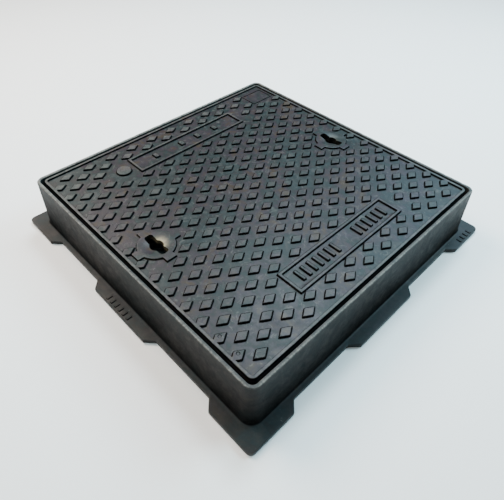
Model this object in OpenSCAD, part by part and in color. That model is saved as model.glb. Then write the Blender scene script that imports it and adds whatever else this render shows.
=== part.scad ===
// Square access cover and frame in cast iron: a lift-out cover with a diamond tread sits on
// seat strips in a deep frame, and two key sockets in the cover take the lifting keys.
// Origin: centre of the frame's base. +Z is up, -Y is the side with the marked middle lug.

/* [Frame] */
// Side of the frame's square top rim, measured outside
frame_side = 545; // [460:1:700]
// Height of the frame from its base to the road surface
frame_h = 100; // [90:1:160]
// Width of the frame's top rim
rim_w = 5.5; // [4:0.5:10]
// Outward lean of the wall's outer face from the rim down to the flange
wall_lean = 4.5; // [0:0.5:8]
// Outer radius of the frame's corners at the rim
frame_corner_r = 14.5; // [12:0.5:20]
// Thickness of the base flange and its lugs
flange_t = 8; // [5:0.5:12]
// Reach of the plain flange beyond the rim
flange_reach = 13.5; // [11:0.5:25]
// Radius of the fillet where the wall meets the flange
foot_fillet_r = 4; // [1:0.5:5]

/* [Lugs] */
// Reach of each lug beyond the plain flange
lug_reach = 14; // [6:0.5:30]
// Length of each middle lug along its outer edge
mid_lug_len = 135; // [80:1:180]
// Length of each corner lug's outer edge, from the corner
corner_lug_len = 81.5; // [50:0.5:110]
// Run of a lug's slanting end along the side
lug_slope_run = 15; // [4:0.5:25]
// Radius at the outer corner of a corner lug
lug_corner_r = 9; // [2:0.5:14]
// Height of the raised bars on the lugs
lug_bar_h = 1.5; // [0.5:0.1:3]

/* [Seat] */
// Width of the seat ledge, from the wall to the clear opening
seat_w = 42; // [30:0.5:60]
// Depth of the seat ledge's top below the rim
seat_drop = 45; // [35:1:60]
// Thickness of the seat ledge
seat_t = 10; // [6:0.5:14]
// Thickness of the gussets under the ledge
gusset_t = 8; // [5:0.5:12]
// Spacing of the gussets along a side
gusset_pitch = 90; // [60:1:140]
// Smallest distance from a gusset's centre line to the clear opening's corner
gusset_end = 20; // [10:1:60]
// Distance from the clear opening's edge back to a gusset's tip
gusset_back = 3; // [0:1:20]
// Height of a gusset's tip below the ledge
gusset_tip_h = 2; // [1:1:10]
// Width of a seat strip
strip_w = 12; // [8:0.5:16]
// Height that a seat strip stands above the ledge
strip_proud = 4; // [2:0.5:8]
// Depth of the groove that holds a seat strip
groove_depth = 1.5; // [1:0.5:4]
// Distance from each end of a seat strip to the cover's corner
strip_end = 42; // [20:1:80]
// Gap between a seat strip and its groove, each side
strip_gap = 0.3; // [0.1:0.1:1]

/* [Cover] */
// Gap between the cover's edge and the frame
cover_gap = 5; // [2:0.5:8]
// Radius of the cover's corners
cover_corner_r = 9; // [7:0.5:14]
// Width of the raised rim around the cover's top
cover_rim_w = 5.5; // [3:0.5:7]
// Thickness of the plate under the tread
plate_t = 9; // [8:0.5:16]
// Height of the tread, rim and panels above the plate
tread_h = 3; // [1.5:0.5:5]
// Width of the skirt that rests on the seat strips
skirt_w = 10; // [8:0.5:14]
// Thickness of the stiffening ribs
rib_t = 8; // [5:0.5:12]
// Spacing of the stiffening ribs
rib_pitch = 64; // [48:1:66]
// Depth of the ribs below the plate
rib_depth = 50; // [40:1:60]
// Gap between the ribs and the seat ledge's inner edge
rib_gap = 3; // [2:0.5:8]
// Height of the shallow outer ribs above the seat ledge
rib_lift = 7; // [5.5:0.5:12]

/* [Tread] */
// Width of one diamond, across the cover
diamond_w = 17; // [12:0.5:20]
// Length of one diamond, front to back
diamond_l = 26; // [18:0.5:30]
// Half the spacing of the diamonds across the cover
pitch_x = 17.25; // [14:0.25:24]
// Half the spacing of the diamonds front to back
pitch_y = 22.75; // [18:0.25:32]
// Smallest clear space between a diamond and a panel or socket
diamond_clear = 1; // [0.5:0.5:4]

/* [Panels] */
// Distance from the cover's edge to each panel's centre line
panel_inset = 71.5; // [55:0.5:90]
// Width of a panel over its frame
panel_w = 48; // [36:1:60]
// Length of a panel over its frame
panel_l = 251; // [160:1:280]
// Width of a panel's raised frame
panel_ridge = 6; // [3:0.5:10]
// Distance of a panel's centre behind the cover's centre
panel_shift = 5; // [-10:0.5:10]
// Length of a raised bar, across the panel
bar_l = 22; // [12:1:26]
// Width of a raised bar, along the panel
bar_w = 6; // [3:0.5:8]
// Spacing of the raised bars
bar_pitch = 13.5; // [11:0.5:16]
// Distance from the panel's ends to the nearest bar's centre line
bar_margin = 23.5; // [14:0.5:40]
// Length of the break between the two groups of bars
bar_break = 40; // [0:1:60]
// Distance of the break's middle behind the panel's centre
bar_break_at = 6; // [-40:1:40]
// Outer radius of the round boss beyond the left panel
boss_r = 14; // [8:0.5:15]
// Distance from the left panel's end to the boss's centre
boss_offset = 22; // [18:1:30]
// Width across the blank square in the rear left corner
blank_w = 42; // [30:1:50]
// Length of the blank square, front to back
blank_l = 56; // [30:1:60]
// Distance from the cover's raised rim to the blank square, sideways
blank_side = 11; // [2:0.5:20]
// Distance from the cover's raised rim to the blank square, at the rear
blank_rear = 3; // [2:0.5:20]
// Height of the blank square's outline
blank_h = 1.2; // [0.5:0.1:3]

/* [Key sockets] */
// Distance from the cover's edge to a key socket's centre
key_inset = 52; // [50:1:80]
// Radius of a key socket's raised disc
socket_r = 30; // [25:0.5:36]
// Reach of the four lugs beyond the disc
socket_lug_out = 9; // [4:0.5:11]
// Width of a socket lug
socket_lug_w = 17.5; // [10:0.5:22]
// Gap between a socket and its hole in the plate
socket_gap = 0.5; // [0.2:0.1:1]
// Thickness of that flange
socket_flange_t = 7; // [4:0.5:8]
// Width of the flat ring around the dished recess
dish_edge = 3; // [1:0.5:6]
// Depth of the dished recess
dish_depth = 8; // [3:0.5:8]
// Length of the key slot
slot_l = 46; // [36:1:56]
// Width of the key slot
slot_w = 11; // [8:0.5:14]
// Radius of the round hole in the middle of the slot
slot_eye_r = 10; // [6:0.5:12]
// Room left around the key's bar when it turns
turning_clear = 3; // [1:0.5:5]
// Thickness of the wall that the key lifts on, at the dish's lowest point
lift_wall_t = 6; // [4:0.5:6]

/* [Key pockets] */
// Thickness of the gasket between socket and pocket
gasket_t = 2; // [1:0.5:3]
// Thickness of a pocket's flange
pocket_flange_t = 3; // [2:0.5:4]
// Thickness of a pocket's wall and floor
pocket_wall = 2.5; // [1.5:0.5:3]
// Space between a pocket's floor and the seat strips' height
pocket_lift = 3; // [2:0.5:6]
// Radius of a screw's shank
screw_r = 3; // [2:0.5:3]
// Radial clearance of a screw's hole through the flanges
screw_clear = 0.3; // [0.1:0.1:0.5]
// Radial clearance of a screw in its blind hole
screw_fit = 0.05; // [0.02:0.01:0.1]
// Depth of the blind holes in the plate
blind_depth = 6.5; // [5:0.5:7]
// Space left beyond the end of a screw
blind_rest = 1; // [0.5:0.5:2]
// Iron left between a screw's hole and the socket's hole
screw_web = 2; // [1.5:0.5:4]
// Smallest space between a washer and what stands beside it
washer_gap = 1; // [0.5:0.5:2]
// Radius of a screw's head
head_r = 5; // [4:0.5:5.5]
// Height of a screw's head
head_h = 6; // [4:0.5:6]
// Width across the flats of a head's hexagon socket
hex_af = 5; // [3:0.5:5]
// Outer radius of a washer
washer_r = 6; // [5.5:0.5:6]
// Thickness of a washer
washer_t = 1.2; // [0.5:0.1:1.5]

/* [Hidden] */
$fn = 96;

bite = 1;               // overlap that joins two solids of one casting
arc_steps = 6;          // straight steps in a rounded outline corner
lug_tip_r = 3;          // rounding where a lug's end meets its outer edge
lug_root_r = 4;         // rounding where a lug's end meets the flange

// Frame, half sizes from the centre
rim_half = frame_side / 2;
wall_in = rim_half - rim_w;
frame_turn = rim_half - frame_corner_r;
flange_half = rim_half + flange_reach;
lug_half = flange_half + lug_reach;
opening_half = wall_in - seat_w;
wall_corner_in = frame_corner_r - rim_w;

// Heights
seat_top = frame_h - seat_drop;
strip_top = seat_top + strip_proud;
groove_floor = seat_top - groove_depth;
plate_top = frame_h - tread_h;
plate_under = plate_top - plate_t;
rib_low = plate_under - rib_depth;
outer_rib_low = seat_top + rib_lift;

// Cover, half sizes from the centre
cover_half = wall_in - cover_gap;
tread_half = cover_half - cover_rim_w;
skirt_in = cover_half - skirt_w;
rib_reach = opening_half - rib_gap;
strip_at = cover_half - skirt_w / 2;
rib_count = floor((rib_reach - rib_t / 2) / rib_pitch);

// Panels and marks
panel_at = cover_half - panel_inset;
boss_at = panel_shift - panel_l / 2 - boss_offset;
left_marks = [-77, -17, 22, 65]; // plain blocks on the left panel, from its centre
mark_w = 14;                     // a block's size across and along the panel
mark_l = 10;
blank_at = [-tread_half + blank_side + blank_w / 2, tread_half - blank_rear - blank_l / 2];
blank_line = 4;                  // width of the blank square's outline

// Bars on two of the lugs
lug_bar_l = 10;
lug_bar_w = 5;
lug_bar_pitch = 11;
front_bars = 6;
right_bars = 4;
front_bar_shift = -8;            // the front group's middle, from the side's middle
lug_bar_at = (flange_half + lug_half) / 2 - 1;

// Key sockets, radii from a socket's own centre
key_at = cover_half - key_inset;
socket_lug_reach = socket_r + socket_lug_out;
turning_r = slot_l / 2 + turning_clear;
pocket_r = turning_r + pocket_wall;
screw_circle_r = max(pocket_r + washer_r + washer_gap, socket_r + socket_gap + screw_r + screw_web);
lug_tip = norm([socket_lug_reach, socket_lug_w / 2]);
socket_flange_r = max(screw_circle_r + washer_r + washer_gap / 2, lug_tip + screw_web);
well_gap = 1;           // space around the flanges inside the cover's well
dish_r = socket_r - dish_edge;
flange_under = plate_under - socket_flange_t;
gasket_under = flange_under - gasket_t;
pocket_under = gasket_under - pocket_flange_t;
washer_under = pocket_under - washer_t;
pocket_floor = strip_top + pocket_lift;
dish_sphere_r = (dish_r * dish_r + dish_depth * dish_depth) / (2 * dish_depth);
lift_wall_under = frame_h - dish_depth - lift_wall_t;
well_r = socket_flange_r + well_gap;
well_wall = 6;
gasket_in_r = turning_r + well_gap;
slot_corner_r = 2;

function unit(v) = v / norm(v);
function turned(v, a) = [v.x * cos(a) - v.y * sin(a), v.x * sin(a) + v.y * cos(a)];

// Points of the arc of radius r that rounds corner p between its neighbours a and b
function corner_arc(a, p, b, r) =
    let (
        u = unit(a - p),
        v = unit(b - p),
        half = acos(u * v) / 2,
        c = p + unit(u + v) * r / sin(half),
        from = p + u * r / tan(half) - c,
        to = p + v * r / tan(half) - c,
        sweep = atan2(cross(from, to), from * to)
    )
    [for (k = [0 : arc_steps]) c + turned(from, sweep * k / arc_steps)];

// A closed outline of corners [x, y, r], with each corner rounded by its own r
function rounded(corners) =
    let (n = len(corners), p = [for (c = corners) [c.x, c.y]])
    [
        for (i = [0 : n - 1])
            each (corners[i][2] > 0
                ? corner_arc(p[(i + n - 1) % n], p[i], p[(i + 1) % n], corners[i][2])
                : [p[i]])
    ];

module box(half_x, half_y, r) {
    polygon(rounded([
        [-half_x, -half_y, r], [half_x, -half_y, r],
        [half_x, half_y, r], [-half_x, half_y, r]
    ]));
}

module ring(half_x, half_y, r, w) {
    difference() {
        box(half_x, half_y, r);
        box(half_x - w, half_y - w, max(0, r - w));
    }
}

module on_each_side() {
    for (k = [0 : 3]) rotate(90 * k) children();
}

// ---------------------------------------------------------------- frame

// One side of the lugged flange's outline, from its left corner towards its right one
function flange_side() =
    let (
        corner_end = lug_half - corner_lug_len,
        corner_root = corner_end - lug_slope_run,
        mid_end = mid_lug_len / 2,
        mid_root = mid_end + lug_slope_run
    )
    [
        [-lug_half, -lug_half, lug_corner_r],
        [-corner_end, -lug_half, lug_tip_r], [-corner_root, -flange_half, lug_root_r],
        [-mid_root, -flange_half, lug_root_r], [-mid_end, -lug_half, lug_tip_r],
        [mid_end, -lug_half, lug_tip_r], [mid_root, -flange_half, lug_root_r],
        [corner_root, -flange_half, lug_root_r], [corner_end, -lug_half, lug_tip_r]
    ];

module flange_outline() {
    polygon(rounded([
        for (k = [0 : 3], c = flange_side())
            let (p = turned([c.x, c.y], 90 * k)) [p.x, p.y, c[2]]
    ]));
}

// The wall's section, measured outwards from the centre of a frame corner
module wall_section() {
    foot = [frame_corner_r + wall_lean, flange_t];
    toe = foot + [2 * foot_fillet_r, 0];
    top = [frame_corner_r, frame_h];
    polygon(concat(
        [[wall_corner_in, 0], [foot.x + foot_fillet_r, 0], [foot.x + foot_fillet_r, flange_t]],
        corner_arc(toe, foot, top, foot_fillet_r),
        [top, [wall_corner_in, frame_h]]
    ));
}

module wall() {
    on_each_side() translate([frame_turn, frame_turn, 0]) {
        rotate([90, 0, 0]) linear_extrude(2 * frame_turn) wall_section();
        rotate_extrude(angle = 90) wall_section();
    }
}

module gusset() {
    tip = [opening_half + gusset_back, seat_top - seat_t - gusset_tip_h];
    rotate([90, 0, 0]) translate([0, 0, -gusset_t / 2]) linear_extrude(gusset_t) polygon([
        [wall_in + bite, flange_t], [wall_in + bite, seat_top - bite],
        [tip.x, seat_top - bite], tip
    ]);
}

module lug_bars(count) {
    for (k = [0 : count - 1])
        translate([(k - (count - 1) / 2) * lug_bar_pitch - lug_bar_w / 2, -lug_bar_l / 2, 0])
            cube([lug_bar_w, lug_bar_l, flange_t + lug_bar_h]);
}

module strip_groove() {
    translate([strip_at - strip_w / 2 - strip_gap, 0, groove_floor])
        translate([0, -cover_half + strip_end - strip_gap, 0])
            cube([
                strip_w + 2 * strip_gap,
                2 * (cover_half - strip_end + strip_gap),
                groove_depth + bite
            ]);
}

module frame() {
    gussets = floor((opening_half - gusset_end) / gusset_pitch);
    opening_corner_r = 6;
    color("#2b2e31") difference() {
        union() {
            wall();
            linear_extrude(flange_t) difference() {
                flange_outline();
                box(wall_in + bite, wall_in + bite, wall_corner_in + bite);
            }
            translate([0, 0, seat_top - seat_t]) linear_extrude(seat_t) difference() {
                box(wall_in + bite, wall_in + bite, wall_corner_in + bite);
                box(opening_half, opening_half, opening_corner_r);
            }
            on_each_side() for (k = [-gussets : gussets])
                translate([0, k * gusset_pitch, 0]) gusset();
            translate([front_bar_shift, -lug_bar_at, 0]) lug_bars(front_bars);
            translate([lug_bar_at, lug_half - corner_lug_len / 2, 0]) rotate(90)
                lug_bars(right_bars);
        }
        on_each_side() strip_groove();
    }
}

// ---------------------------------------------------------------- cover

// Outline of a socket with its four lugs, grown by extra
module socket_outline(extra) {
    circle(socket_r + extra);
    for (a = [0, 90]) rotate(a)
        square([2 * (socket_lug_reach + extra), socket_lug_w + 2 * extra], center = true);
}

module at_keys() {
    for (s = [-1, 1]) translate([0, s * key_at, 0]) children();
}

module at_screws() {
    for (a = [45 : 90 : 315]) rotate(a) translate([screw_circle_r, 0, 0]) children();
}

function near_box(x, y, cx, cy, w, l) =
    abs(x - cx) < (w + diamond_w) / 2 && abs(y - cy) < (l + diamond_l) / 2 - diamond_clear;
function near_key(x, y) =
    norm([x, abs(y) - key_at]) < socket_r + diamond_l / 2
    || near_box(x, abs(y), 0, key_at, 2 * (socket_lug_reach + diamond_clear), socket_lug_w);
function is_bare(x, y) =
    near_key(x, y)
    || near_box(x, y, panel_at, panel_shift, panel_w, panel_l)
    || near_box(x, y, -panel_at, panel_shift, panel_w, panel_l)
    || near_box(x, y, -panel_at, boss_at, 2 * boss_r, 2 * boss_r)
    || near_box(x, y, blank_at.x, blank_at.y, blank_w, blank_l);

module diamond() {
    polygon([[-diamond_w / 2, 0], [0, -diamond_l / 2], [diamond_w / 2, 0], [0, diamond_l / 2]]);
}

// Diamonds whose centres lie inside the rim, away from panels and sockets
module tread(cut_by_rim) {
    nx = floor((tread_half - diamond_clear) / pitch_x);
    ny = floor((tread_half - diamond_clear) / pitch_y);
    for (i = [-nx : nx], j = [-ny : ny])
        if ((i + j) % 2 == 0 && !is_bare(i * pitch_x, j * pitch_y)
            && (abs(j * pitch_y) + diamond_l / 2 > tread_half) == cut_by_rim)
            translate([i * pitch_x, j * pitch_y]) diamond();
}

module panel_frame() {
    panel_corner_r = 1.5;
    ring(panel_w / 2, panel_l / 2, panel_corner_r, panel_ridge);
}

// Two groups of plain raised bars in a raised frame
module right_panel() {
    reach = panel_l / 2 - bar_margin;
    translate([panel_at, panel_shift]) {
        panel_frame();
        for (y = [-reach : bar_pitch : reach])
            if (abs(y - bar_break_at) > bar_break / 2)
                translate([0, y]) square([bar_l, bar_w], center = true);
    }
}

// A few plain blocks in a raised frame, and a round boss in front of it
module left_panel() {
    translate([-panel_at, panel_shift]) {
        panel_frame();
        for (y = left_marks) translate([0, y]) square([mark_w, mark_l], center = true);
    }
    translate([-panel_at, boss_at]) circle(boss_r);
}

module on_plate(height) {
    translate([0, 0, plate_top - bite]) linear_extrude(bite + height) children();
}

module raised_work() {
    on_plate(tread_h) tread(false);
    on_plate(tread_h) difference() {
        intersection() {
            box(cover_half, cover_half, cover_corner_r);
            union() {
                ring(cover_half, cover_half, cover_corner_r, cover_rim_w);
                tread(true);
            }
        }
        at_keys() socket_outline(socket_gap + diamond_clear);
    }
    on_plate(tread_h) right_panel();
    on_plate(tread_h) left_panel();
    on_plate(blank_h) translate(blank_at) ring(blank_w / 2, blank_l / 2, 1, blank_line);
}

// Space between the ribs from rib k to rib k + 1, with the outermost ones open up to the skirt
function cell_from(k) = k < -rib_count ? -skirt_in : k * rib_pitch + rib_t / 2;
function cell_to(k) = k == rib_count ? skirt_in : (k + 1) * rib_pitch - rib_t / 2;

module rib_cells() {
    cells = [-rib_count - 1 : rib_count];
    difference() {
        for (i = cells, j = cells)
            translate([cell_from(i), cell_from(j)])
                square([cell_to(i) - cell_from(i), cell_to(j) - cell_from(j)]);
        at_keys() circle(well_r + well_wall);
    }
}

// Iron from height low up into the plate, over a square of the given half size
module iron(half, low) {
    translate([-half, -half, low]) cube([2 * half, 2 * half, plate_under + bite - low]);
}

module cover() {
    color("#3a3d40") difference() {
        union() {
            translate([0, 0, plate_under]) linear_extrude(plate_t)
                box(cover_half, cover_half, cover_corner_r);
            translate([0, 0, strip_top]) linear_extrude(plate_under + bite - strip_top)
                ring(cover_half, cover_half, cover_corner_r, skirt_w);
            iron(skirt_in + bite, outer_rib_low);
            iron(rib_reach, rib_low);
            raised_work();
        }
        linear_extrude(plate_under) rib_cells();
        at_keys() {
            cylinder(r = well_r, h = plate_under);
            translate([0, 0, plate_under - bite]) linear_extrude(plate_t + tread_h + 2 * bite)
                socket_outline(socket_gap);
            at_screws() translate([0, 0, plate_under - bite])
                cylinder(r = screw_r + screw_fit, h = blind_depth + bite);
        }
    }
}

// ---------------------------------------------------------------- key sockets and pockets

module key_slot() {
    box(slot_l / 2, slot_w / 2, slot_corner_r);
    circle(slot_eye_r);
}

module key_socket() {
    color("#4a4a48") difference() {
        union() {
            translate([0, 0, plate_under - bite]) linear_extrude(plate_t + tread_h + bite)
                socket_outline(0);
            translate([0, 0, flange_under]) cylinder(r = socket_flange_r, h = socket_flange_t);
        }
        translate([0, 0, frame_h - dish_depth + dish_sphere_r]) sphere(dish_sphere_r);
        translate([0, 0, flange_under - bite])
            cylinder(r = turning_r, h = lift_wall_under - flange_under + bite);
        translate([0, 0, flange_under]) linear_extrude(frame_h - flange_under + bite) key_slot();
        at_screws() translate([0, 0, flange_under - bite])
            cylinder(r = screw_r + screw_clear, h = socket_flange_t + 2 * bite);
    }
}

module pocket_gasket() {
    color("#17181a") translate([0, 0, gasket_under]) difference() {
        cylinder(r = socket_flange_r, h = gasket_t);
        translate([0, 0, -bite]) cylinder(r = gasket_in_r, h = gasket_t + 2 * bite);
        at_screws() translate([0, 0, -bite])
            cylinder(r = screw_r + screw_clear, h = gasket_t + 2 * bite);
    }
}

module key_pocket() {
    outer_chamfer = 2;
    inner_chamfer = 1;
    inner_floor = pocket_floor + pocket_wall;
    color("#202225") difference() {
        rotate_extrude() polygon([
            [0, pocket_floor], [pocket_r - outer_chamfer, pocket_floor],
            [pocket_r, pocket_floor + outer_chamfer], [pocket_r, pocket_under],
            [socket_flange_r, pocket_under], [socket_flange_r, gasket_under],
            [turning_r, gasket_under], [turning_r, inner_floor + inner_chamfer],
            [turning_r - inner_chamfer, inner_floor], [0, inner_floor]
        ]);
        at_screws() translate([0, 0, pocket_under - bite])
            cylinder(r = screw_r + screw_clear, h = pocket_flange_t + 2 * bite);
    }
}

module pocket_washers() {
    color("#b9bcbf") at_screws() translate([0, 0, washer_under]) difference() {
        cylinder(r = washer_r, h = washer_t);
        translate([0, 0, -bite]) cylinder(r = screw_r + screw_clear, h = washer_t + 2 * bite);
    }
}

module pocket_screws() {
    shank = plate_under + blind_depth - blind_rest - washer_under;
    color("#a9adb1") at_screws() translate([0, 0, washer_under]) difference() {
        union() {
            cylinder(r = screw_r, h = shank);
            translate([0, 0, -head_h]) cylinder(r = head_r, h = head_h);
        }
        translate([0, 0, -head_h - bite])
            cylinder(r = hex_af / sqrt(3), h = head_h / 2 + bite, $fn = 6);
    }
}

module seat_strip() {
    color("#141517") translate([strip_at - strip_w / 2, -cover_half + strip_end, groove_floor])
        cube([strip_w, 2 * (cover_half - strip_end), strip_top - groove_floor]);
}

module front() { translate([0, -key_at, 0]) children(); }
module rear() { translate([0, key_at, 0]) children(); }

frame();
cover();
seat_strip();  // seat_strip_right
rotate(90) seat_strip();  // seat_strip_rear
rotate(180) seat_strip();  // seat_strip_left
rotate(270) seat_strip();  // seat_strip_front
front() key_socket();  // key_socket_front
rear() key_socket();  // key_socket_rear
front() pocket_gasket();  // pocket_gasket_front
rear() pocket_gasket();  // pocket_gasket_rear
front() key_pocket();  // key_pocket_front
rear() key_pocket();  // key_pocket_rear
front() pocket_washers();  // pocket_washers_front
rear() pocket_washers();  // pocket_washers_rear
front() pocket_screws();  // pocket_screws_front
rear() pocket_screws();  // pocket_screws_rear
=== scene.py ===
"""Looks of the square access cover and its frame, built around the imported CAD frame."""

import math
import random

import bmesh
import bpy
from mathutils import Matrix, Quaternion, Vector, noise


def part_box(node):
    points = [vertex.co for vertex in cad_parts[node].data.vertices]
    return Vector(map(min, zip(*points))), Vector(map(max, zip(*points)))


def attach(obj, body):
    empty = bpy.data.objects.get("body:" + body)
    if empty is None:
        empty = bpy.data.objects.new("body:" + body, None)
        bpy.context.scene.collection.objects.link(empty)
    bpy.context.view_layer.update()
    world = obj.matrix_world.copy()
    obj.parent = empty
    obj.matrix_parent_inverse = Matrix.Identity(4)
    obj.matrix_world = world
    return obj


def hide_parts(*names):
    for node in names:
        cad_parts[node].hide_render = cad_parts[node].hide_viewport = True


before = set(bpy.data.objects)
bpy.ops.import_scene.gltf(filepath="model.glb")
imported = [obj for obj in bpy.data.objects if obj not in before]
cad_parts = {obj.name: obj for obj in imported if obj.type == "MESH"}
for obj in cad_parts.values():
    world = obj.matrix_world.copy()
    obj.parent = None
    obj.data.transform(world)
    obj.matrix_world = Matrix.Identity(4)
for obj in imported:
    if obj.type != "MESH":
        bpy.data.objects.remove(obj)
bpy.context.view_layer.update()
MM = 0.001

# ------------------------------------------------------------------ places taken from the frame

frame_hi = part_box("frame")[1]
cover_lo, cover_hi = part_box("cover")
TOP = frame_hi.z
LUG_HALF = frame_hi.x
COVER_HALF = cover_hi.x
RIB_LOW = cover_lo.z
SEAT_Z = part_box("seat_strip_front")[1].z  # top of the strips that the cover lies on
SOCKET_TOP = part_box("key_socket_front")[1].z
SIDES = ("front", "right", "rear", "left")


def middle(node):
    lo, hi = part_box(node)
    return (lo + hi) / 2


KEYS = {end: middle("key_socket_" + end) for end in ("front", "rear")}

# ------------------------------------------------------------------ sizes, in metres

OVERLAP = 1 * MM  # how far solids reach into each other before they are joined

RIM_HALF = 272.5 * MM  # frame's top rim, outside
RIM_W = 5.5 * MM
FRAME_CORNER_R = 14.5 * MM
WALL_LEAN = 4.5 * MM
WALL_INSIDE = RIM_HALF - RIM_W + OVERLAP
FLANGE_HALF = 286 * MM
FLANGE_T = 8 * MM
FOOT_FILLET = 4 * MM
OPENING_HALF = 225 * MM
SEAT_TOP = 55 * MM
SEAT_T = 10 * MM
GUSSET_PITCH = 90 * MM
GROOVE_GAP = 0.3 * MM
LUG_BAR_PITCH = 11 * MM

COVER_CORNER_R = 9 * MM
COVER_RIM_W = 5.5 * MM
TREAD_H = 3 * MM
PLATE_T = 9 * MM
SKIRT_W = 10 * MM
GROUND = TOP - TREAD_H
UNDER = GROUND - PLATE_T
TREAD_HALF = COVER_HALF - COVER_RIM_W
RIB_T = 8 * MM
RIB_PITCH = 64 * MM
RIB_REACH = 222 * MM
OUTER_RIB_LOW = 62 * MM

DIAMOND = (8.5 * MM, 13 * MM)  # half width and half length
PITCH = (17.25 * MM, 22.75 * MM)
DENT_R = 3.4 * MM
PANEL_AT = COVER_HALF - 71.5 * MM
PANEL_Y = 5 * MM
PANEL_HALF = (24 * MM, 125.5 * MM)
PANEL_RIDGE = 6 * MM
BLANK_RIDGE = 4 * MM
BOSS_R = 14 * MM
BOSS_Y = PANEL_Y - PANEL_HALF[1] - 22 * MM
BLANK_HALF = (21 * MM, 28 * MM)
BLANK_AT = (-TREAD_HALF + 11 * MM + BLANK_HALF[0], TREAD_HALF - 3 * MM - BLANK_HALF[1])

SOCKET_R = 30 * MM
SOCKET_REACH = 39 * MM
SOCKET_LUG_HALF = 8.75 * MM
SOCKET_GAP = 0.5 * MM
SOCKET_FLANGE_R = 42 * MM
SOCKET_FLANGE_T = 7 * MM
WELL_R = 43 * MM
WELL_WALL = 6 * MM
DISH_R = 27 * MM
DISH_DEPTH = 8 * MM
SLOT_HALF = (23 * MM, 6.2 * MM)
SLOT_CORNER_R = 4 * MM
EYE_R = 10 * MM
TURNING_R = 26 * MM  # room in which the key turns, under the slot
TURNING_TOP = SOCKET_TOP - 14 * MM
GASKET_BORE_R = 27 * MM
SCREW_HOLE_R = 3.3 * MM
SCREW_CIRCLE_R = 35.5 * MM
UNDER_SOCKETS = 70 * MM  # a height clear of the sockets, where cuts through them start

# ------------------------------------------------------------------ meshes from stacked loops


def circle(r, steps=48, at=(0, 0)):
    turn = 2 * math.pi / steps
    return [(at[0] + r * math.cos(k * turn), at[1] + r * math.sin(k * turn)) for k in range(steps)]


def rounded_box(half_x, half_y, r, corner_steps=6, side_steps=1, at=(0, 0)):
    """Points of a rounded rectangle, anticlockwise from its right side's lower end."""
    points = []
    turn_x, turn_y = half_x - r, half_y - r
    corners = [(turn_x, turn_y), (-turn_x, turn_y), (-turn_x, -turn_y), (turn_x, -turn_y)]
    for k, (cx, cy) in enumerate(corners):
        px, py = corners[k - 1]
        a = math.radians(90 * k)
        out = (r * math.cos(a), r * math.sin(a))
        for s in range(side_steps):
            t = s / side_steps
            points.append((px + (cx - px) * t + out[0], py + (cy - py) * t + out[1]))
        for s in range(corner_steps):
            b = a + math.radians(90) * s / corner_steps
            points.append((cx + r * math.cos(b), cy + r * math.sin(b)))
    return [(at[0] + x, at[1] + y) for x, y in points]


def inset(points, d):
    """Moves a closed outline inwards by d, each point along its mitre."""
    out = []
    n = len(points)
    for i, (x, y) in enumerate(points):
        ax, ay = points[i - 1]
        bx, by = points[(i + 1) % n]
        u = Vector((x - ax, y - ay)).normalized()
        v = Vector((bx - x, by - y)).normalized()
        mitre = Vector((-u.y - v.y, u.x + v.x))
        mitre *= d * 2 / max(mitre.length_squared, 0.5)
        out.append((x + mitre.x, y + mitre.y))
    return out


def loft(bm, loops, ring=False):
    """Skins a stack of loops of equal length: a ring joins the last to the first, or both ends close."""
    rows = [[bm.verts.new(p) for p in loop] for loop in loops]
    n = len(rows[0])
    pairs = list(zip(rows, rows[1:])) + ([(rows[-1], rows[0])] if ring else [])
    for low, high in pairs:
        for i in range(n):
            j = (i + 1) % n
            bm.faces.new((low[i], low[j], high[j], high[i]))
    if not ring:
        bm.faces.new(list(reversed(rows[0])))
        bm.faces.new(rows[-1])
    return rows


def at_height(points, z):
    return [(x, y, z) for x, y in points]


def stack(bm, outline, levels):
    """A solid from one outline: levels are (height, how far the outline draws in)."""
    loft(bm, [at_height(inset(outline, d), z) for z, d in levels])


def finished(bm, name):
    """Turns the mesh being built into an object in the scene."""
    bm.normal_update()
    bmesh.ops.triangulate(bm, faces=[f for f in bm.faces if len(f.verts) > 4], ngon_method="EAR_CLIP")
    bmesh.ops.recalc_face_normals(bm, faces=bm.faces)
    mesh = bpy.data.meshes.new(name)
    bm.to_mesh(mesh)
    bm.free()
    obj = bpy.data.objects.new(name, mesh)
    bpy.context.scene.collection.objects.link(obj)
    return obj


def made(name, build):
    bm = bmesh.new()
    build(bm)
    return finished(bm, name)


def prism(name, outline, levels):
    """An object made by stack."""
    return made(name, lambda bm: stack(bm, outline, levels))


def combine(base, other, operation):
    """Joins or cuts two closed meshes, and removes the second."""
    mod = base.modifiers.new("combine", "BOOLEAN")
    mod.object = other
    mod.operation = operation
    mod.solver = "MANIFOLD"
    apply_modifiers(base)
    bpy.data.objects.remove(other)


def apply_modifiers(obj):
    graph = bpy.context.evaluated_depsgraph_get()
    mesh = bpy.data.meshes.new_from_object(obj.evaluated_get(graph))
    obj.modifiers.clear()
    obj.data = mesh


def join(base, other):
    combine(base, other, "UNION")


def cut(base, other):
    combine(base, other, "DIFFERENCE")


def smooth(obj, angle=38):
    """Smooth shading with sharp edges kept, and flat faces kept flat."""
    for poly in obj.data.polygons:
        poly.use_smooth = True
    obj.data.set_sharp_from_angle(angle=math.radians(angle))
    mod = obj.modifiers.new("weighted", "WEIGHTED_NORMAL")
    mod.keep_sharp = True


# ------------------------------------------------------------------ relief on the cover's top

# Sections of raised work, in mm from under the ground up: (height over the ground, inset from its base line)
RELIEF = [(-0.8, -1.0), (0.0, -0.7), (0.15, -0.4), (0.5, -0.12), (1.0, 0.0), (2.3, 0.15), (2.6, 0.38),
          (2.85, 0.85), (3.0, 1.5)]
LOW_RELIEF = [(-0.5, -0.4), (0.0, -0.2), (0.5, 0.1), (0.95, 0.35), (1.2, 0.8)]


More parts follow.
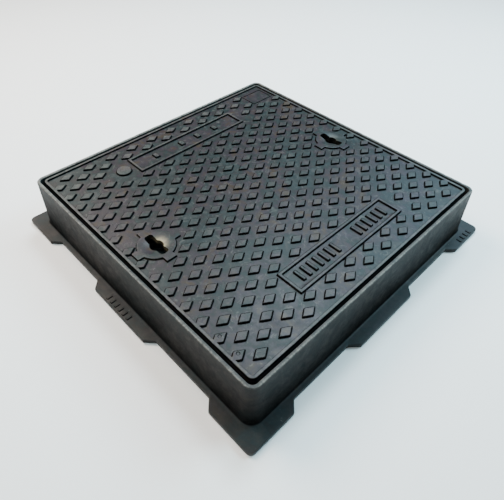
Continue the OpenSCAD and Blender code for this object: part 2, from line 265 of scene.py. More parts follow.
def relief(levels, lift=0.0):
    """Levels for stack from a section in mm, stretched over the ground by the share lift."""
    return [(GROUND + (z + lift * max(z, 0)) * MM, d * MM) for z, d in levels]


def near_box(x, y, cx, cy, half):
    """True where a diamond at (x, y) would touch the box of half sizes half at (cx, cy)."""
    clear_y = 1 * MM
    return abs(x - cx) < half[0] + DIAMOND[0] and abs(y - cy) < half[1] + DIAMOND[1] - clear_y


def is_bare(x, y):
    """True where a panel, a boss or a key socket takes a diamond's place."""
    key_y = KEYS["rear"].y
    key = math.hypot(x, abs(y) - key_y) < SOCKET_R + DIAMOND[1]
    key = key or near_box(x, abs(y), 0, key_y, (SOCKET_REACH + OVERLAP, SOCKET_LUG_HALF))
    panels = any(near_box(x, y, side * PANEL_AT, PANEL_Y, PANEL_HALF) for side in (-1, 1))
    boss = near_box(x, y, -PANEL_AT, BOSS_Y, (BOSS_R, BOSS_R))
    blank = near_box(x, y, *BLANK_AT, BLANK_HALF)
    return key or panels or boss or blank


def diamond_loop(scale, steps=28, bulge=1.07):
    """A rhombus with slightly full sides and soft corners."""
    points = []
    for k in range(steps):
        t = 2 * math.pi * k / steps
        c, s = math.cos(t), math.sin(t)
        r = (abs(c) ** bulge + abs(s) ** bulge) ** (-1 / bulge)
        points.append((DIAMOND[0] * r * c * scale, DIAMOND[1] * r * s * scale))
    return points


def add_diamond(bm, x, y, rng):
    """One tread diamond. Each casting mark differs a little in height, size and tilt."""
    base = DIAMOND[0] * DIAMOND[1] / math.hypot(*DIAMOND)
    lift = rng.uniform(-0.03, 0.0)
    size = rng.uniform(0.985, 1.015)
    tilt = (rng.uniform(-0.006, 0.006), rng.uniform(-0.004, 0.004))
    limit = TREAD_HALF + 2 * MM
    loops = []
    for z, d in relief(RELIEF, lift):
        loop = []
        for px, py in diamond_loop(size * (1 - d / base)):
            height = z + (px * tilt[0] + py * tilt[1] if z > GROUND else 0)
            loop.append((x + px, max(-limit, min(limit, y + py)), min(height, TOP)))
        loops.append(loop)
    loft(bm, loops)


def build_tread(bm):
    rng = random.Random(7)
    nx = int(TREAD_HALF / PITCH[0])
    ny = int(TREAD_HALF / PITCH[1])
    for i in range(-nx, nx + 1):
        for j in range(-ny, ny + 1):
            x, y = i * PITCH[0], j * PITCH[1]
            if (i + j) % 2 == 0 and not is_bare(x, y):
                add_diamond(bm, x, y, rng)


def add_ridge(bm, at, half, width, levels, r=1.5 * MM):
    """A raised line of the given width along a rectangle's inside."""
    outer = rounded_box(half[0], half[1], r, at=at)
    inner = rounded_box(half[0] - width, half[1] - width, r / 3, at=at)
    outside = [at_height(inset(outer, d), z) for z, d in levels]
    inside = [at_height(inset(inner, -d), z) for z, d in reversed(levels)]
    loft(bm, outside + inside, ring=True)


def add_block(bm, at, half, levels):
    stack(bm, rounded_box(half[0], half[1], 1 * MM, at=at), levels)


def build_marks(bm):
    """Panel frames, bars, blocks, boss and blank square."""
    high = relief(RELIEF)
    for side in (-1, 1):
        add_ridge(bm, (side * PANEL_AT, PANEL_Y), PANEL_HALF, PANEL_RIDGE, high)
    add_ridge(bm, BLANK_AT, BLANK_HALF, BLANK_RIDGE, relief(LOW_RELIEF))
    bar_half, bar_pitch, bar_reach = (11 * MM, 3 * MM), 13.5 * MM, 102 * MM
    break_at, break_half = 6 * MM, 20 * MM
    for k in range(int(2 * bar_reach / bar_pitch + 1e-6) + 1):
        y = -bar_reach + k * bar_pitch
        if abs(y - break_at) > break_half:
            add_block(bm, (PANEL_AT, PANEL_Y + y), bar_half, high)
    block_half = (7 * MM, 5 * MM)
    for y in (-77 * MM, -17 * MM, 22 * MM, 65 * MM):
        add_block(bm, (-PANEL_AT, PANEL_Y + y), block_half, high)
    stack(bm, circle(BOSS_R, at=(-PANEL_AT, BOSS_Y)), high)


# ------------------------------------------------------------------ cover casting


def keyed_outline(extra=0.0, arc_steps=10):
    """A disc with four square lugs, grown by extra."""
    r, reach, half = SOCKET_R + extra, SOCKET_REACH + extra, SOCKET_LUG_HALF + extra
    start = math.asin(half / r)
    points = []
    for k in range(4):
        turn = Matrix.Rotation(math.radians(90 * k), 2)
        span = math.radians(90) - 2 * start
        side = [(reach, -half), (reach, half)]
        side += [(r * math.cos(start + span * s / arc_steps), r * math.sin(start + span * s / arc_steps))
                 for s in range(arc_steps + 1)]
        points += [tuple(turn @ Vector(p)) for p in side]
    return points


def shifted(points, x, y):
    return [(px + x, py + y) for px, py in points]


def build_cover_rim(bm):
    """Raised rim and outer side of the cover, all round."""
    turn, nick_depth = COVER_HALF - COVER_CORNER_R, 0.22 * MM
    r_out, r_in = COVER_CORNER_R, COVER_CORNER_R - COVER_RIM_W
    section = [
        (r_in - 1.6 * MM, GROUND - 1 * MM), (r_in - 0.9 * MM, GROUND), (r_in - 0.3 * MM, GROUND + 0.3 * MM),
        (r_in, GROUND + 1 * MM), (r_in + 0.25 * MM, TOP - 0.6 * MM), (r_in + 0.6 * MM, TOP - 0.1 * MM),
        (r_in + 1.1 * MM, TOP), (r_out - 1.2 * MM, TOP), (r_out - 0.5 * MM, TOP - 0.15 * MM),
        (r_out - 0.1 * MM, TOP - 0.6 * MM), (r_out, TOP - 1.4 * MM), (r_out, SEAT_Z + 0.8 * MM),
        (r_out - 0.8 * MM, SEAT_Z), (r_in, SEAT_Z),
    ]
    loops = []
    for r, z in section:
        loop = at_height(rounded_box(turn + r, turn + r, r, corner_steps=8, side_steps=90), z)
        loops.append(worn(loop, z, nick_depth) if z > TOP - 1 * MM else loop)
    loft(bm, loops, ring=True)


def worn(loop, z, depth):
    """Lowers a rim line where small nicks have taken its edge, and draws it in a quarter as much."""
    coarse, fine, fine_share, spared = 160, 420, 0.6, 0.15
    out = []
    for x, y, _ in loop:
        rough = noise.noise(Vector((x, y, z)) * coarse)
        rough += fine_share * noise.noise(Vector((x, y, z * 3)) * fine)
        nick = max(0.0, rough - spared)
        out.append((x * (1 - nick * depth), y * (1 - nick * depth), z - nick * depth))
    return out


def plate_outline(half, r):
    return rounded_box(half, half, r, corner_steps=6)


def build_plate(bm):
    stack(bm, plate_outline(COVER_HALF - 2 * MM, COVER_CORNER_R - 2 * MM), [(UNDER, 0), (GROUND, 0)])


def build_skirt(bm):
    outer = plate_outline(COVER_HALF - 2 * MM, COVER_CORNER_R - 2 * MM)
    inner = plate_outline(COVER_HALF - SKIRT_W, 2 * MM)
    levels_out = [(SEAT_Z, 1 * MM), (SEAT_Z + 1 * MM, 0), (UNDER + OVERLAP, 0)]
    levels_in = [(UNDER + OVERLAP, 0), (SEAT_Z + 1 * MM, 0), (SEAT_Z, -1 * MM)]
    loops = [at_height(inset(outer, d), z) for z, d in levels_out]
    loops += [at_height(inset(inner, d), z) for z, d in levels_in]
    loft(bm, loops, ring=True)


# Drafted ribs with rounded lower edges: (height, half thickness, reach), from the plate down
OUTER_RIB_REACH = COVER_HALF - SKIRT_W + OVERLAP
RIB = [(UNDER + OVERLAP, RIB_T / 2 + 1.6 * MM, RIB_REACH),
       (UNDER - 1.5 * MM, RIB_T / 2 + 0.2 * MM, RIB_REACH),
       (RIB_LOW + 1.2 * MM, RIB_T / 2 - 0.9 * MM, RIB_REACH),
       (RIB_LOW + 0.3 * MM, RIB_T / 2 - 1.4 * MM, RIB_REACH - 1.5 * MM),
       (RIB_LOW, RIB_T / 2 - 2.4 * MM, RIB_REACH - 1.5 * MM)]
OUTER_RIB = [(UNDER + OVERLAP, RIB_T / 2 + 1 * MM, OUTER_RIB_REACH),
             (UNDER - 1.5 * MM, RIB_T / 2, OUTER_RIB_REACH),
             (OUTER_RIB_LOW + 1 * MM, RIB_T / 2 - 0.5 * MM, OUTER_RIB_REACH),
             (OUTER_RIB_LOW, RIB_T / 2 - 1.3 * MM, OUTER_RIB_REACH)]


def build_ribs(bm, section, along_x):
    """One way's ribs, at even pitch."""
    for k in range(-3, 4):
        loops = []
        for z, half, reach in section:
            loop = rounded_box(reach, half, min(1 * MM, half * 0.9), corner_steps=2, at=(0, k * RIB_PITCH))
            loops.append(at_height(loop if along_x else [(y, x) for x, y in reversed(loop)], z))
        loft(bm, loops)


def build_cover_underside():
    """Ribs, wells and skirt as one solid."""
    body = made("underside", build_skirt)
    for section in (RIB, OUTER_RIB):
        for along_x in (True, False):
            join(body, made("ribs", lambda bm: build_ribs(bm, section, along_x)))
    for key in KEYS.values():
        round_wall = circle(WELL_R + WELL_WALL, 64, (0, key.y))
        inner_wall = [(x, max(-RIB_REACH, min(RIB_REACH, y))) for x, y in round_wall]
        for outline, low in ((round_wall, OUTER_RIB_LOW), (inner_wall, RIB_LOW)):
            join(body, prism("well", outline, [(low, 0), (UNDER + OVERLAP, 0)]))
    return body


def build_cover():
    cover = made("cover_casting", build_plate)
    join(cover, made("rim", build_cover_rim))
    join(cover, made("tread", build_tread))
    join(cover, made("marks", build_marks))
    join(cover, build_cover_underside())
    for column in (11, 13):
        dent = circle(DENT_R, 24, (column * PITCH[0] - 1.5 * MM, -11 * PITCH[1] + 2 * MM))
        levels = [(TOP - 0.7 * MM, 1.4 * MM), (TOP - 0.5 * MM, 0.9 * MM), (TOP + 1 * MM, 0)]
        cut(cover, prism("dent", dent, levels))
    for key in KEYS.values():
        cut(cover, prism("bore", circle(WELL_R, 64, (0, key.y)), [(20 * MM, 0), (UNDER, 0)]))
        hole = shifted(keyed_outline(SOCKET_GAP), 0, key.y)
        levels = [(UNDER - 1 * MM, 0), (GROUND - 0.7 * MM, 0), (GROUND + 0.1 * MM, -0.7 * MM),
                  (TOP + 1 * MM, -0.7 * MM)]
        cut(cover, prism("keyhole", hole, levels))
    smooth(cover)
    return cover


# ------------------------------------------------------------------ frame casting


def flange_outline():
    """The flange with its eight lugs, anticlockwise, its corners rounded."""
    corner_end, corner_root = 218.5 * MM, 203.5 * MM
    mid_end, mid_root = 67.5 * MM, 82.5 * MM
    side = [(-LUG_HALF, -LUG_HALF, 9), (-corner_end, -LUG_HALF, 3), (-corner_root, -FLANGE_HALF, 4),
            (-mid_root, -FLANGE_HALF, 4), (-mid_end, -LUG_HALF, 3), (mid_end, -LUG_HALF, 3),
            (mid_root, -FLANGE_HALF, 4), (corner_root, -FLANGE_HALF, 4), (corner_end, -LUG_HALF, 3)]
    corners = []
    for k in range(4):
        turn = Matrix.Rotation(math.radians(90 * k), 2)
        corners += [(turn @ Vector(c[:2]), c[2] * MM) for c in side]
    points = []
    for k, (p, r) in enumerate(corners):
        before, after = corners[k - 1][0], corners[(k + 1) % len(corners)][0]
        points += round_corner(before, p, after, r)
    return points


def round_corner(a, p, b, r, steps=5):
    """Points of an arc of radius r in the corner p between a and b."""
    u, v = (a - p).normalized(), (b - p).normalized()
    half = u.angle(v) / 2
    centre = p + (u + v).normalized() * r / math.sin(half)
    start, end = p + u * r / math.tan(half) - centre, p + v * r / math.tan(half) - centre
    sweep = math.atan2(start.x * end.y - start.y * end.x, start.dot(end))
    return [tuple(centre + Matrix.Rotation(sweep * s / steps, 2) @ start) for s in range(steps + 1)]


def build_wall(bm):
    """The leaning outer wall from its foot in the flange to the worn rim."""
    turn, nick_depth = RIM_HALF - FRAME_CORNER_R, 0.6 * MM
    r_top, r_in = FRAME_CORNER_R, FRAME_CORNER_R - RIM_W
    r_foot = r_top + WALL_LEAN
    section = [(r_in, 0.5 * MM), (r_foot + FOOT_FILLET + 1 * MM, 0.5 * MM),
               (r_foot + FOOT_FILLET + 1 * MM, FLANGE_T - 1 * MM)]
    for s in range(7):
        a = math.radians(90 * s / 6)
        section.append((r_foot + FOOT_FILLET * (1 - math.sin(a)), FLANGE_T + FOOT_FILLET * (1 - math.cos(a))))
    foot, rise = FLANGE_T + FOOT_FILLET, TOP - 13.5 * MM
    section += [(r_foot + (r_top - r_foot) * t, foot + rise * t) for t in (0.25, 0.5, 0.75)]
    section += [
        (r_top, TOP - 1.5 * MM), (r_top - 0.2 * MM, TOP - 0.7 * MM), (r_top - 0.6 * MM, TOP - 0.2 * MM),
        (r_top - 1.2 * MM, TOP), (r_in + 1 * MM, TOP), (r_in + 0.4 * MM, TOP - 0.2 * MM),
        (r_in + 0.1 * MM, TOP - 0.6 * MM), (r_in, TOP - 1.3 * MM),
    ]
    loops = []
    for r, z in section:
        loop = at_height(rounded_box(turn + r, turn + r, r, corner_steps=10, side_steps=110), z)
        loops.append(worn(loop, z, nick_depth) if z > TOP - 1.6 * MM else loop)
    loft(bm, loops, ring=True)


def build_seat(bm):
    """The ledge that carries the seat strips and the cover."""
    outer = plate_outline(WALL_INSIDE, 9 * MM)
    inner = plate_outline(OPENING_HALF, 6 * MM)
    low, top = SEAT_TOP - SEAT_T, SEAT_TOP
    loops = [at_height(outer, low), at_height(outer, top), at_height(inset(inner, -1.2 * MM), top),
             at_height(inset(inner, -0.3 * MM), top - 0.4 * MM), at_height(inner, top - 1.2 * MM),
             at_height(inner, low + 1 * MM), at_height(inset(inner, -1 * MM), low)]
    loft(bm, loops, ring=True)


def add_gusset(bm, side, at):
    """A wedge under the seat, its faces drawn in a little towards its lower edge."""
    tip = OPENING_HALF + 3 * MM
    profile = [(WALL_INSIDE, FLANGE_T), (WALL_INSIDE, SEAT_TOP - 1 * MM), (tip, SEAT_TOP - 1 * MM),
               (tip, SEAT_TOP - SEAT_T - 2 * MM)]
    turn = Matrix.Rotation(math.radians(90 * side), 3, "Z")
    loops = []
    for y, d in ((-4, 0.8), (-3.2, 0), (3.2, 0), (4, 0.8)):
        shrunk = inset(profile, -d * MM)
        loops.append([tuple(turn @ Vector((x, at + y * MM, z))) for x, z in shrunk])
    loft(bm, loops)


def add_lug_bars(bm, count, at, upright):
    """A row of plain bars on a lug, in place of lettering."""
    levels = [(FLANGE_T - 1 * MM, -0.6 * MM), (FLANGE_T + 0.4 * MM, 0), (FLANGE_T + 1.2 * MM, 0.4 * MM),
              (FLANGE_T + 1.5 * MM, 1 * MM)]
    half = (5 * MM, 2.5 * MM) if upright else (2.5 * MM, 5 * MM)
    for k in range(count):
        s = (k - (count - 1) / 2) * LUG_BAR_PITCH
        place = (at[0], at[1] + s) if upright else (at[0] + s, at[1])
        stack(bm, rounded_box(*half, 0.8 * MM, at=place), levels)


def build_gussets(bm):
    for side in range(4):
        for k in range(-2, 3):
            add_gusset(bm, side, k * GUSSET_PITCH)


def build_lug_marks(bm):
    lug_at = (FLANGE_HALF + LUG_HALF) / 2 - 1 * MM
    add_lug_bars(bm, 6, (-8 * MM, -lug_at), False)
    add_lug_bars(bm, 4, (lug_at, 259.25 * MM), True)


def build_frame():
    flange = prism("frame_casting", flange_outline(), [
        (0, 0.8 * MM), (0.8 * MM, 0), (FLANGE_T - 1.2 * MM, 0), (FLANGE_T - 0.35 * MM, 0.35 * MM),
        (FLANGE_T, 1.2 * MM)])
    cut(flange, prism("hole", plate_outline(WALL_INSIDE, 10 * MM), [(-10 * MM, 0), (20 * MM, 0)]))
    join(flange, made("wall", build_wall))
    join(flange, made("seat", build_seat))
    join(flange, made("gussets", build_gussets))
    join(flange, made("bars", build_lug_marks))
    for end in SIDES:
        lo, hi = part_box("seat_strip_" + end)
        groove = rounded_box((hi.x - lo.x) / 2 + GROOVE_GAP, (hi.y - lo.y) / 2 + GROOVE_GAP, 0.5 * MM,
                             at=((lo.x + hi.x) / 2, (lo.y + hi.y) / 2))
        cut(flange, prism("groove", groove, [(lo.z, 0), (SEAT_TOP + 1 * MM, 0)]))
    smooth(flange)
    return flange


# ------------------------------------------------------------------ key sockets


def screw_places(key):
    """The four screws' places round a key socket."""
    turns = [math.radians(a) for a in (45, 135, 225, 315)]
    return [(key.x + SCREW_CIRCLE_R * math.cos(a), key.y + SCREW_CIRCLE_R * math.sin(a)) for a in turns]


def build_dish(bm, centre, steps=16):
    """The solid to cut away: a shallow bowl, deepest in the middle, open at the top."""
    loops = []
    for s in range(steps + 1):
        t = (s + 0.5) / (steps + 0.5)
        loops.append(at_height(circle(DISH_R * t, 72, centre), SOCKET_TOP - DISH_DEPTH * (1 - t) ** 2))
    loops.append(at_height(circle(DISH_R * 1.02, 72, centre), SOCKET_TOP + 2 * MM))
    loft(bm, loops)


def build_socket(end):
    """Keyed disc with a dish, a slot with a round eye, and a flange below."""
    key, rise = KEYS[end], SOCKET_TOP
    centre = (0, key.y)
    disc = shifted(keyed_outline(0, arc_steps=16), *centre)
    body = prism("key_socket_" + end + "_casting", disc, [
        (UNDER - 2 * MM, 0), (rise - 1 * MM, 0), (rise - 0.3 * MM, 0.3 * MM), (rise, 1 * MM)])
    low = UNDER - SOCKET_FLANGE_T
    join(body, prism("flange", circle(SOCKET_FLANGE_R, 72, centre), [
        (low, 0.5 * MM), (low + 0.5 * MM, 0), (UNDER - 0.5 * MM, 0), (UNDER, 0.5 * MM)]))
    cut(body, made("dish", lambda bm: build_dish(bm, centre)))
    cut(body, prism("cavity", circle(TURNING_R, 72, centre), [(UNDER_SOCKETS, 0), (TURNING_TOP, 0)]))
    levels = [(80 * MM, 0), (rise - 9 * MM, 0), (rise - 3 * MM, -1 * MM), (rise + 10 * MM, -1 * MM)]
    slot = prism("slot", rounded_box(*SLOT_HALF, SLOT_CORNER_R, at=centre), levels)
    join(slot, prism("eye", circle(EYE_R, 48, centre), levels))
    cut(body, slot)
    for at in screw_places(key):
        hole = circle(SCREW_HOLE_R, 24, at)
        cut(body, prism("hole", hole, [(UNDER_SOCKETS, 0), (UNDER + 1 * MM, 0)]))
    smooth(body)
    return body


# ------------------------------------------------------------------ rubber pieces

# Section of a seat strip, in mm from the middle of its underside: two soft lips with a hollow between
LIPS = [(-5.5, 0), (5.5, 0), (6, 0.5), (6, 3.4), (5.7, 4.4), (5, 5.1), (4, 5.5), (3, 5.3), (2, 4.7), (1, 4.3),
        (-1, 4.3), (-2, 4.7), (-3, 5.3), (-4, 5.5), (-5, 5.1), (-5.7, 4.4), (-6, 3.4), (-6, 0.5)]


def build_strip(bm, end):
    """A seat strip along its side of the frame, its ends drawn in."""
    lo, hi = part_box("seat_strip_" + end)
    mid, size = (lo + hi) / 2, hi - lo
    along_x, reach, soft = size.x > size.y, max(size.x, size.y) / 2, 0.7
    loops = []
    for s, d in ((-reach, soft), (-reach + soft * MM, 0), (reach - soft * MM, 0), (reach, soft)):
        section = [(u * MM, lo.z + v * MM) for u, v in inset(LIPS, d)]
        loops.append([(mid.x + (s if along_x else u), mid.y + (u if along_x else s), z) for u, z in section])
    loft(bm, loops)


# Face of a gasket from bore to rim: (share of its width, share of its half thickness)
GASKET_FACE = [(0, 0.55), (0.03, 0.9), (0.09, 1), (0.16, 0.82), (0.26, 0.82), (0.32, 1), (0.7, 1),
               (0.76, 0.82), (0.86, 0.82), (0.91, 1), (0.97, 0.9), (1, 0.55)]


def build_gasket(end):
    """A flat ring with soft edges, two shallow ribs on each face and its screw holes."""
    lo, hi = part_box("pocket_gasket_" + end)
    mid = (lo + hi) / 2
    width, half = (hi.x - lo.x) / 2 - GASKET_BORE_R, (hi.z - lo.z) / 2
    section = [(GASKET_BORE_R + width * t, -h * half) for t, h in GASKET_FACE]
    section += [(GASKET_BORE_R + width * t, h * half) for t, h in reversed(GASKET_FACE)]
    loops = [at_height(circle(r, 72, (mid.x, mid.y)), mid.z + z) for r, z in section]
    ring = made("pocket_gasket_" + end + "_ring", lambda bm: loft(bm, loops, ring=True))
    for at in screw_places(mid):
        cut(ring, prism("hole", circle(SCREW_HOLE_R, 24, at), [(UNDER_SOCKETS, 0), (90 * MM, 0)]))
    smooth(ring)
    return ring


# ------------------------------------------------------------------ materials


def new_material(name):
    mat = bpy.data.materials.new(name)
    mat.use_nodes = True
    tree = mat.node_tree
    return mat, tree, tree.nodes["Principled BSDF"]


def noise_at(tree, coords, scale, detail=3.0, roughness=0.5, distortion=0.0):
    node = tree.nodes.new("ShaderNodeTexNoise")
    node.inputs["Scale"].default_value = scale
    node.inputs["Detail"].default_value = detail
    node.inputs["Roughness"].default_value = roughness
    node.inputs["Distortion"].default_value = distortion
    tree.links.new(coords, node.inputs["Vector"])
    return node.outputs["Fac"]


def ramp(tree, value, stops):
    node = tree.nodes.new("ShaderNodeValToRGB")
    while len(node.color_ramp.elements) < len(stops):
        node.color_ramp.elements.new(0.5)
    for element, (place, colour) in zip(node.color_ramp.elements, stops):
        element.position = place
        element.color = (*colour, 1) if len(colour) == 3 else colour
    tree.links.new(value, node.inputs["Fac"])
    return node.outputs["Color"]


def spread(tree, value, low, high, to_low, to_high):
    node = tree.nodes.new("ShaderNodeMapRange")
    for name, number in (("From Min", low), ("From Max", high), ("To Min", to_low), ("To Max", to_high)):
        node.inputs[name].default_value = number
    tree.links.new(value, node.inputs["Value"])
    return node.outputs["Result"]


def maths(tree, operation, a, b):
    node = tree.nodes.new("ShaderNodeMath")
    node.operation = operation
    for socket, value in zip(node.inputs, (a, b)):
        if isinstance(value, (int, float)):
            socket.default_value = value
        else:
            tree.links.new(value, socket)
    return node.outputs["Value"]


def times(tree, a, b):
    return maths(tree, "MULTIPLY", a, b)


def plus(tree, a, b):
    return maths(tree, "ADD", a, b)


def larger(tree, a, b):
    return maths(tree, "MAXIMUM", a, b)


def size_of(tree, value):
    return maths(tree, "ABSOLUTE", value, 0)


def mixed(tree, factor, a, b):
    node = tree.nodes.new("ShaderNodeMix")
    node.data_type = "RGBA"
    tree.links.new(factor, node.inputs["Factor"])
    for socket, value in ((node.inputs["A"], a), (node.inputs["B"], b)):
        if isinstance(value, tuple):
            socket.default_value = (*value, 1)
        else:
            tree.links.new(value, socket)
    return node.outputs["Result"]


def bump(tree, height, distance, strength=1.0, normal=None):
    node = tree.nodes.new("ShaderNodeBump")
    node.inputs["Distance"].default_value = distance
    node.inputs["Strength"].default_value = strength
    tree.links.new(height, node.inputs["Height"])
    if normal is not None:
        tree.links.new(normal, node.inputs["Normal"])
    return node.outputs["Normal"]


def parts_of(tree, vector):
    split = tree.nodes.new("ShaderNodeSeparateXYZ")
    tree.links.new(vector, split.inputs["Vector"])
    return [split.outputs[axis] for axis in "XYZ"]


def slope_painted_shade(tree, height, upright, veil, fades, slopes):
    """Where painted shade lies: on slopes, between the heights at which it fades in and fades out again."""
    slope = spread(tree, size_of(tree, upright), *slopes, 0.0, 1.0)
    fade_in, fade_out = spread(tree, height, *fades[:2], 0.0, 1.0), spread(tree, height, *fades[2:], 1.0, 0.0)
    # Painted shade: darkens the sloping faces within these heights.
    shade_mask = times(tree, slope, times(tree, fade_in, fade_out))
    return times(tree, shade_mask, spread(tree, veil, 0.35, 0.6, 1.0, 0.8))


def rubbed_edges_and_sheen(tree, place, patches, amount, depth, near, far):
    """Where the coat is rubbed through: in patches down to depth, most of all between the distances near and
    far from the middle and towards the left edge. The lightening towards the left edge is partly a painted
    reflection on the ridges there, and the weaker share on all other tops is partly a painted highlight on
    the crests."""
    across, along, height = place
    out = larger(tree, size_of(tree, across), size_of(tree, along))
    at_top = spread(tree, height, TOP - depth, TOP - 0.3 * depth, 0.0, 1.0)
    # Lighter towards the left edge: partly worn coat, partly a painted reflection on the ridges there.
    to_left = spread(tree, across, *WORN_AND_SHEEN_TO_LEFT, 0.0, 1.0)
    at_edge = larger(tree, spread(tree, out, near, far, 0.35, 1.0), to_left)
    patch = spread(tree, patches, 0.85, 1.15, 0.25, 1.0)
    return times(tree, times(tree, times(tree, at_top, at_edge), patch), amount)


def dusted_and_highlit(tree, colour, height, leans_back, veil, dust_and_highlight_amount):
    """Dust and a painted highlight on the slope that faces the front near the top, and painted shade further
    down.
    """
    # Dust and a painted highlight, strongest a little below the top on the dish wall that faces the front.
    low_down = spread(tree, height, TOP - 4 * MM, TOP - 0.3 * MM, dust_and_highlight_amount, 0.0)
    facing = spread(tree, leans_back, -0.02, -0.22, 0.06, 1.0)
    dust_and_highlight_mask = times(tree, times(tree, low_down, facing), spread(tree, veil, 0.35, 0.55, 0.5, 1.0))
    # Painted shade: near black down inside the slot.
    deep_shade = spread(tree, height, TOP - 10 * MM, TOP - 7 * MM, 1.0, 0.0)
    return mixed(tree, deep_shade, mixed(tree, dust_and_highlight_mask, colour, DUST_AND_HIGHLIGHT), PAINTED_SHADE)


def coated_iron(name, coats, scuffed, gloss, rough, shade_heights, slopes, rub_and_sheen=None, dust_and_highlight_amount=0.0):
    """Cast iron under a thin black bitumen coat, in patches that run through coats. The argument after rough
    gives the four heights between which painted shade lies on slopes, slopes says how upright a normal is
    where that shade starts and where it is full, and the argument after slopes is the last four arguments of
    the rubbed edges, which carry some painted sheen too. The last argument says how much dust and painted
    highlight lie on a key socket's dish."""
    mat, tree, shader = new_material(name)
    source = tree.nodes.new("ShaderNodeTexCoord")
    coords = source.outputs["Object"]
    place = parts_of(tree, coords)
    height = place[2]
    _, leans_back, upright = parts_of(tree, source.outputs["Normal"])
    broad = noise_at(tree, coords, 14, detail=4, roughness=0.65, distortion=0.4)
    swell = noise_at(tree, coords, 22, detail=2)
    blotch = noise_at(tree, coords, 48, detail=5, roughness=0.65, distortion=0.6)
    veil = noise_at(tree, coords, 70, detail=5, roughness=0.7)
    scuffs = noise_at(tree, coords, 75, detail=6, roughness=0.8, distortion=1.2)
    pitting = noise_at(tree, coords, 300, detail=4, roughness=0.7)
    grain = noise_at(tree, coords, 1000, detail=2, roughness=0.6)

    hue = plus(tree, times(tree, broad, 0.5), times(tree, blotch, 0.5))
    patches = ramp(tree, hue, list(zip(COAT_STOPS, coats)))
    colour = mixed(tree, spread(tree, veil, 0.4, 0.68, 0.0, 0.55), patches, COAT_DUSTY)
    if dust_and_highlight_amount:
        colour = dusted_and_highlit(tree, colour, height, leans_back, veil, dust_and_highlight_amount)
    speck = spread(tree, plus(tree, pitting, times(tree, blotch, 0.5)), 0.95, 1.06, 0.0, 0.3)
    wear_and_sheen = larger(tree, speck, spread(tree, scuffs, 0.54, 0.7, 0.0, scuffed))
    if rub_and_sheen:
        wear_and_sheen = larger(tree, rubbed_edges_and_sheen(tree, place, plus(tree, pitting, veil), *rub_and_sheen), wear_and_sheen)
    # Painted shade on slopes, which also dulls the gloss there.
    shade_mask = slope_painted_shade(tree, height, upright, veil, shade_heights, slopes)
    colour = mixed(tree, shade_mask, mixed(tree, wear_and_sheen, colour, RUBBED_AND_SHEEN), PAINTED_SHADE)
    tree.links.new(colour, shader.inputs["Base Color"])

    shine = spread(tree, plus(tree, blotch, times(tree, pitting, 0.4)), 0.5, 0.9, *rough)
    tree.links.new(plus(tree, shine, times(tree, shade_mask, 0.4)), shader.inputs["Roughness"])
    dullness = plus(tree, shade_mask, times(tree, veil, 0.4))
    specular = spread(tree, dullness, 0.1, 1.1, gloss * 1.25, gloss * 0.1)
    tree.links.new(specular, shader.inputs["Specular IOR Level"])
    pits = bump(tree, pitting, 0.2 * MM, 0.45, bump(tree, swell, 0.6 * MM, 0.4))
    tree.links.new(bump(tree, grain, 0.06 * MM, 0.5, pits), shader.inputs["Normal"])
    return mat


def clouded(name, clouds, stops, rough, grain, grain_depth, metallic=0.0):
    """A plain material whose colour and roughness drift together."""
    mat, tree, shader = new_material(name)
    coords = tree.nodes.new("ShaderNodeTexCoord").outputs["Object"]
    drift = noise_at(tree, coords, **clouds)
    tree.links.new(ramp(tree, drift, stops), shader.inputs["Base Color"])
    tree.links.new(spread(tree, drift, 0.3, 0.7, *rough), shader.inputs["Roughness"])
    shader.inputs["Metallic"].default_value = metallic
    tree.links.new(bump(tree, noise_at(tree, coords, grain), grain_depth, 0.5), shader.inputs["Normal"])
    return mat


def dress(obj, mat):
    obj.data.materials.clear()
    obj.data.materials.append(mat)


def soften(obj, width, angle=35):
    """Small rounded edges on a CAD part, by modifiers alone."""
    weld = obj.modifiers.new("weld", "WELD")
    weld.merge_threshold = 0.01 * MM
    edge = obj.modifiers.new("edge", "BEVEL")
    edge.width = width
    edge.segments = 2
    edge.limit_method = "ANGLE"
    edge.angle_limit = math.radians(angle)
    edge.harden_normals = True


# ------------------------------------------------------------------ the object

# Coats run from brown through purple, black and green-blue to pale
COAT_STOPS = (0.38, 0.46, 0.51, 0.56, 0.64)
COVER_COATS = [(0.03, 0.0185, 0.011), (0.02, 0.014, 0.02), (0.01, 0.0105, 0.011), (0.0075, 0.015, 0.016),
               (0.025, 0.0265, 0.0265)]
FRAME_COATS = [(0.027, 0.023, 0.018), (0.022, 0.02, 0.022), (0.017, 0.0175, 0.0175), (0.015, 0.02, 0.0215),
               (0.025, 0.0255, 0.025)]
COAT_DUSTY = (0.026, 0.0245, 0.022)
# Worn coat with some painted sheen, dust with a painted highlight, and the near-black painted shade.
RUBBED_AND_SHEEN, DUST_AND_HIGHLIGHT, PAINTED_SHADE = (0.27, 0.255, 0.225), (0.42, 0.33, 0.19), (0.0015, 0.0015, 0.0015)
RELIEF_SLOPES, STEEP = (0.997, 0.965), (0.84, 0.7)
# Worn coat towards the left edge, partly a painted reflection on the ridges there.
WORN_AND_SHEEN_TO_LEFT = (-130 * MM, -200 * MM)  # across the cover, towards its left edge
